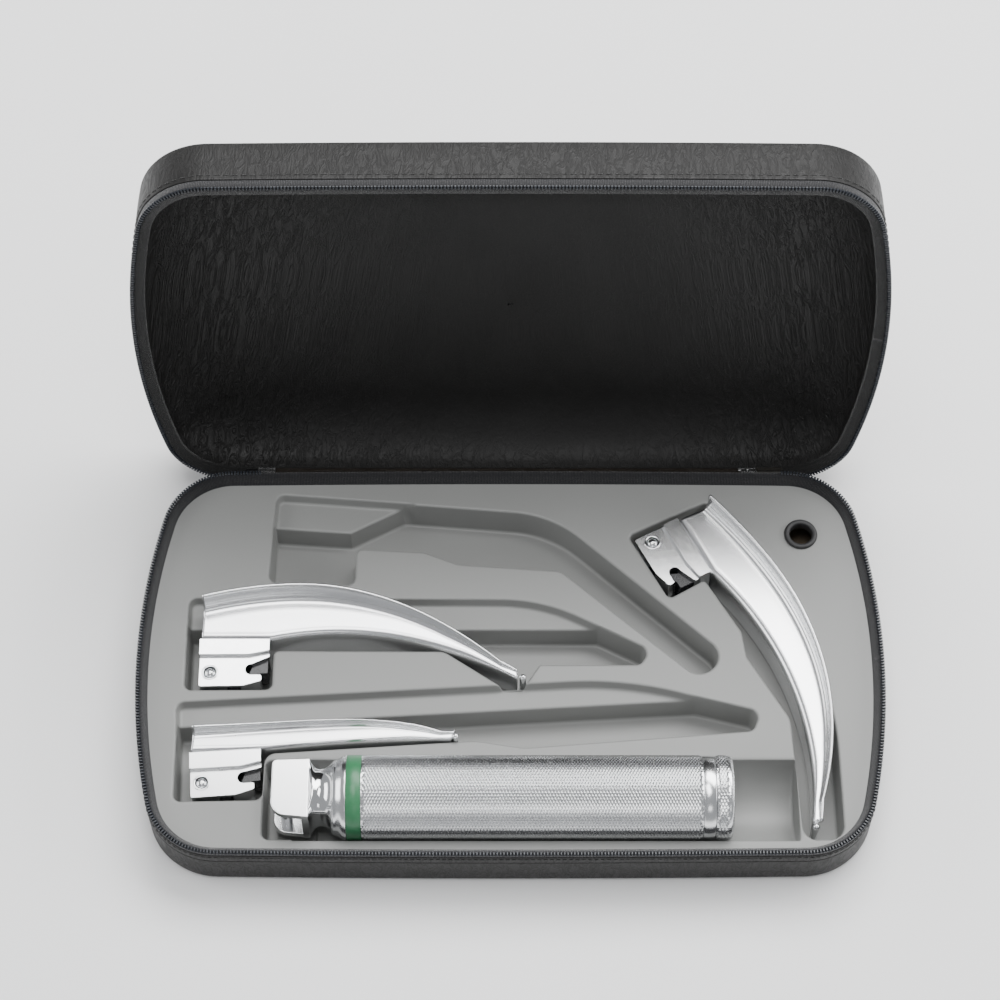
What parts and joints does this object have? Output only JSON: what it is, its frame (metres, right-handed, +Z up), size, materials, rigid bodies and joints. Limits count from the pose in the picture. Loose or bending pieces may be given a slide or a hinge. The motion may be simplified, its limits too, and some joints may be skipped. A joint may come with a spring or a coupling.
{
  "type": "laryngoscope set in case",
  "caption": "Battery laryngoscope handle with hook-on curved and straight blades, stowed in a zipped leatherette case with a formed tray; lid open.",
  "frame": {"origin": "centre of the underside of the case base", "axes": "+X along the case's long side to the right, +Y towards the lid hinge, +Z up"},
  "size_m": [0.26, 0.1979, 0.1563],
  "materials": {
    "leatherette": "grained black leatherette",
    "board": "grey-brown fibreboard",
    "tray_plastic": "satin grey formed sheet",
    "black_rubber": "matte",
    "zip_fabric": "woven black tape",
    "zip_coil": "blue-black moulded teeth",
    "hinge_leather": "brown-black leatherette",
    "tab_leather": "glossy black leatherette",
    "zip_metal": "black lacquered",
    "polished_steel": "polished",
    "satin_steel": "satin",
    "green_band": "green, semi-gloss",
    "knurled_steel": "knurled satin",
    "sleeve_plastic": "natural",
    "cell_wrap": "blue-grey wrap",
    "lamp_brass": "satin",
    "white_plastic": "satin",
    "spring_steel": "drawn wire",
    "inlet_black": "black ferrule",
    "fibre_glass": "polished fibre bundle"
  },
  "bodies": {
    "case base": {"base_shell": "leatherette", "base_board": "board", "tray": "tray_plastic", "lamp_grommet": "black_rubber", "base_zip_tape": "zip_fabric", "base_zip_teeth": "zip_coil", "hinge_strip": "hinge_leather", "zip_end_tab": "tab_leather"},
    "case lid": {"lid_shell": "leatherette", "lid_board": "board", "lid_lining": "leatherette", "lid_zip_tape": "zip_fabric", "lid_zip_teeth": "zip_coil"},
    "zip slider": {"zip_slider": "zip_metal"},
    "zip pull": {"zip_pull": "zip_metal"},
    "handle": {"handle_head": "polished_steel", "hook_pin": "polished_steel", "head_collar": "satin_steel", "green_ring": "green_band", "grip_tube": "knurled_steel", "tail_band": "satin_steel", "cell_sleeve": "sleeve_plastic", "cell_front": "cell_wrap", "cell_rear": "cell_wrap", "lamp_unit": "lamp_brass", "plunger_spring": "spring_steel"},
    "switch plunger": {"switch_plunger": "white_plastic"},
    "cap spring": {"cap_spring": "spring_steel", "cap_seal": "black_rubber"},
    "end cap": {"end_cap": "knurled_steel"},
    "large curved blade": {"curved3_spatula": "polished_steel", "curved3_block": "polished_steel", "curved3_inlet": "inlet_black", "curved3_fibre": "fibre_glass", "curved3_ball_spring": "spring_steel"},
    "large curved blade upper ball": {"curved3_ball_upper": "polished_steel"},
    "large curved blade lower ball": {"curved3_ball_lower": "polished_steel"},
    "medium curved blade": {"curved2_spatula": "polished_steel", "curved2_block": "polished_steel", "curved2_inlet": "inlet_black", "curved2_fibre": "fibre_glass", "curved2_ball_spring": "spring_steel"},
    "medium curved blade upper ball": {"curved2_ball_upper": "polished_steel"},
    "medium curved blade lower ball": {"curved2_ball_lower": "polished_steel"},
    "straight blade": {"straight1_spatula": "polished_steel", "straight1_block": "polished_steel", "straight1_inlet": "inlet_black", "straight1_fibre": "fibre_glass", "straight1_ball_spring": "spring_steel"},
    "straight blade upper ball": {"straight1_ball_upper": "polished_steel"},
    "straight blade lower ball": {"straight1_ball_lower": "polished_steel"}
  },
  "joints": [
    {"name": "lid_hinge", "type": "hinge", "parent": "case base", "child": "case lid", "pos_m": [0, 0.0704, 0.014], "axis": [-1, 0, 0], "range_deg": [-99.2, 11.5], "deforming": ["hinge_strip"]},
    {"name": "slider_travel", "type": "slide", "parent": "case base", "child": "zip slider", "axis": [-1, 0, 0], "range_m": [0, 0.01]},
    {"name": "pull_swing", "type": "hinge", "parent": "zip slider", "child": "zip pull", "pos_m": [-0.092, 0.0757, 0.0102], "axis": [0, 1, 0], "range_deg": [-60, 60]},
    {"name": "handle_lift", "type": "slide", "parent": "case base", "child": "handle", "axis": [0, 0, 1], "range_m": [0, 0.12]},
    {"name": "plunger_press", "type": "slide", "parent": "handle", "child": "switch plunger", "axis": [1, 0, 0], "range_m": [0, 0.0012], "stiffness_N_per_m": 900, "deforming": ["plunger_spring"]},
    {"name": "cap_travel", "type": "slide", "parent": "handle", "child": "cap spring", "axis": [1, 0, 0], "range_m": [0, 0.0097]},
    {"name": "cap_turn", "type": "hinge", "parent": "cap spring", "child": "end cap", "pos_m": [0.072, -0.0529, 0.019], "axis": [1, 0, 0], "range_deg": [0, 2160]},
    {"name": "curved3_lift", "type": "slide", "parent": "case base", "child": "large curved blade", "axis": [0, 0, 1], "range_m": [0, 0.12]},
    {"name": "curved3_ball_upper_press", "type": "slide", "parent": "large curved blade", "child": "large curved blade upper ball", "axis": [0, 0, -1], "range_m": [0, 0.0007], "stiffness_N_per_m": 1500},
    {"name": "curved3_ball_lower_press", "type": "slide", "parent": "large curved blade", "child": "large curved blade lower ball", "axis": [0, 0, 1], "range_m": [0, 0.0007], "stiffness_N_per_m": 1500},
    {"name": "curved2_lift", "type": "slide", "parent": "case base", "child": "medium curved blade", "axis": [0, 0, 1], "range_m": [0, 0.12]},
    {"name": "curved2_ball_upper_press", "type": "slide", "parent": "medium curved blade", "child": "medium curved blade upper ball", "axis": [0, 0, -1], "range_m": [0, 0.0007], "stiffness_N_per_m": 1500},
    {"name": "curved2_ball_lower_press", "type": "slide", "parent": "medium curved blade", "child": "medium curved blade lower ball", "axis": [0, 0, 1], "range_m": [0, 0.0007], "stiffness_N_per_m": 1500},
    {"name": "straight1_lift", "type": "slide", "parent": "case base", "child": "straight blade", "axis": [0, 0, 1], "range_m": [0, 0.12]},
    {"name": "straight1_ball_upper_press", "type": "slide", "parent": "straight blade", "child": "straight blade upper ball", "axis": [0, 0, -1], "range_m": [0, 0.0007], "stiffness_N_per_m": 1500},
    {"name": "straight1_ball_lower_press", "type": "slide", "parent": "straight blade", "child": "straight blade lower ball", "axis": [0, 0, 1], "range_m": [0, 0.0007], "stiffness_N_per_m": 1500}
  ],
  "couplings": [
    {"joint": "cap_travel", "follows": "cap_turn", "m_per_rad": 0.00025465}
  ]
}
